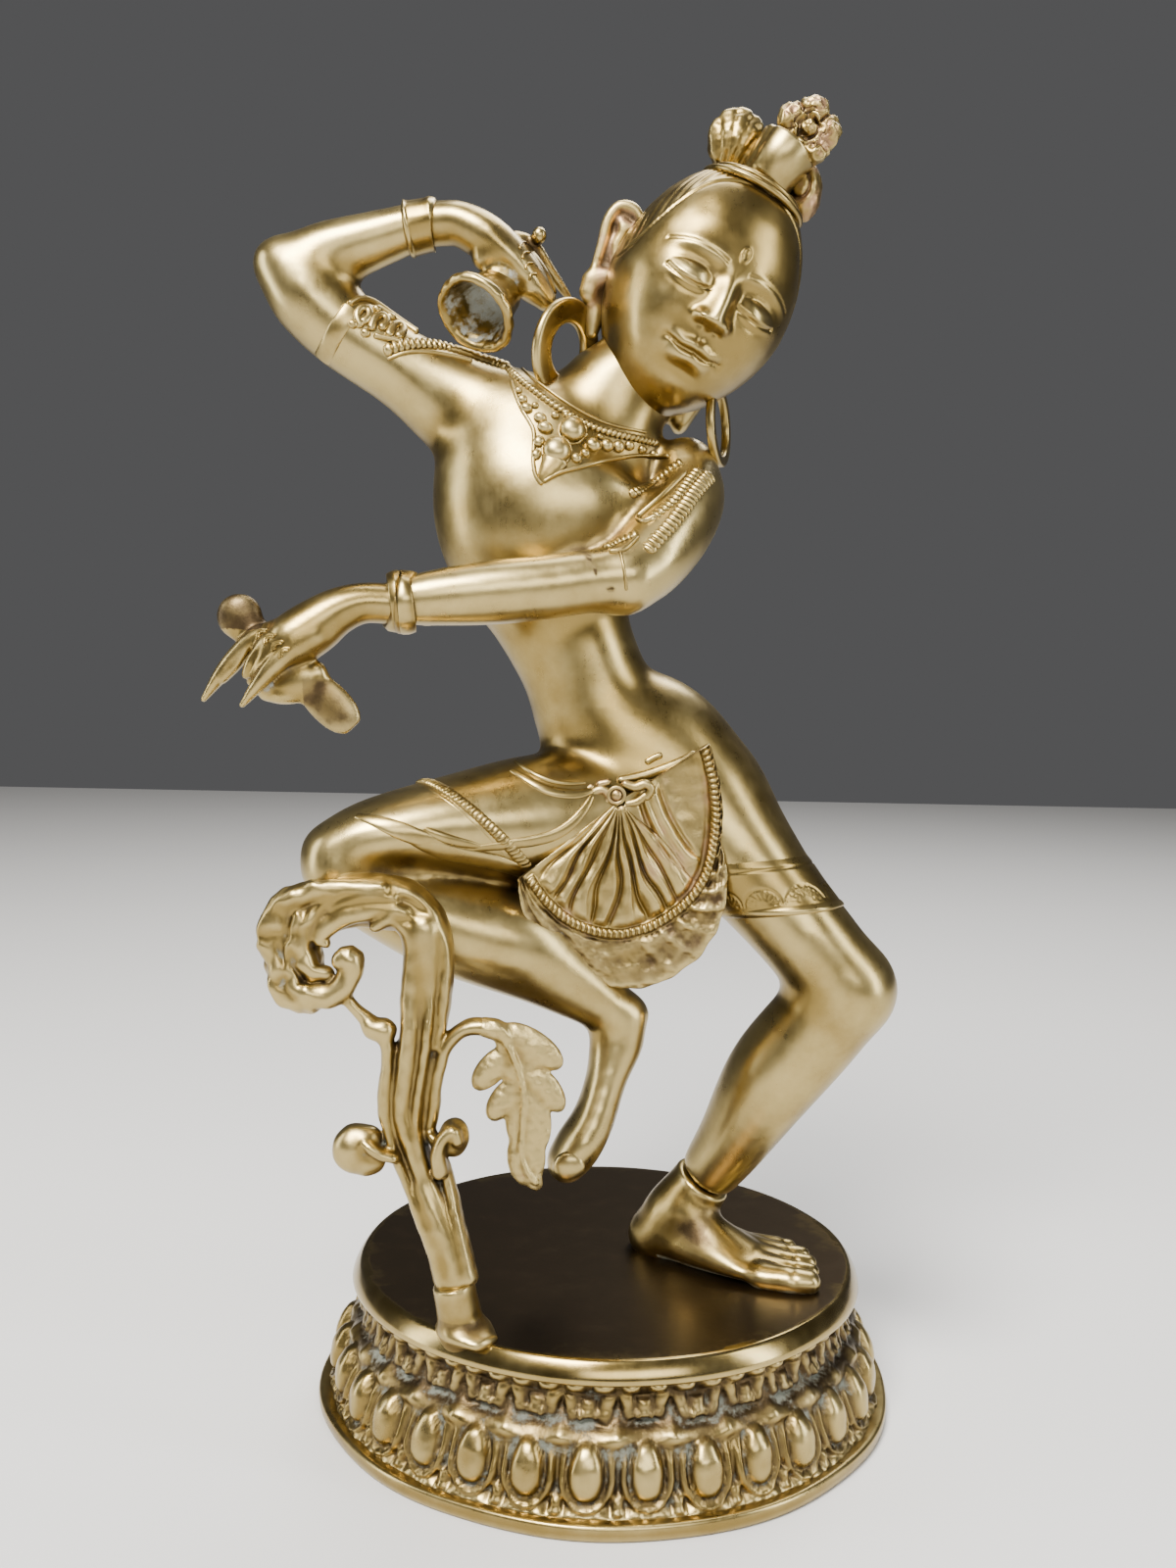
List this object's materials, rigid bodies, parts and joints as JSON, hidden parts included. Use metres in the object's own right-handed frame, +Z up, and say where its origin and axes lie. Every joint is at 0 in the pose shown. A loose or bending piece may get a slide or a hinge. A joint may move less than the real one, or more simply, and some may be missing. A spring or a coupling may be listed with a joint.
{
  "type": "brass dancing deity statue",
  "caption": "Cast brass figure dancing on one leg on a round lotus plinth, the raised knee carried by a scrolling vine, a bell in the lifted hand",
  "frame": {"origin": "centre of the plinth's underside", "axes": "+Z up through the figure; the figure faces -Y; +X is the viewer's right"},
  "size_m": [0.1548, 0.1348, 0.297],
  "materials": {
    "worn_brass": "hand-rubbed cast brass with fine scratches, brown tarnish in the hollows and a little pale green corrosion",
    "aged_brass": "darker tarnished cast brass, bright on the rims, with grey-green corrosion in the carving"
  },
  "bodies": {
    "root": {"dancing_figure": "worn_brass", "lotus_plinth": "aged_brass"}
  },
  "joints": []
}
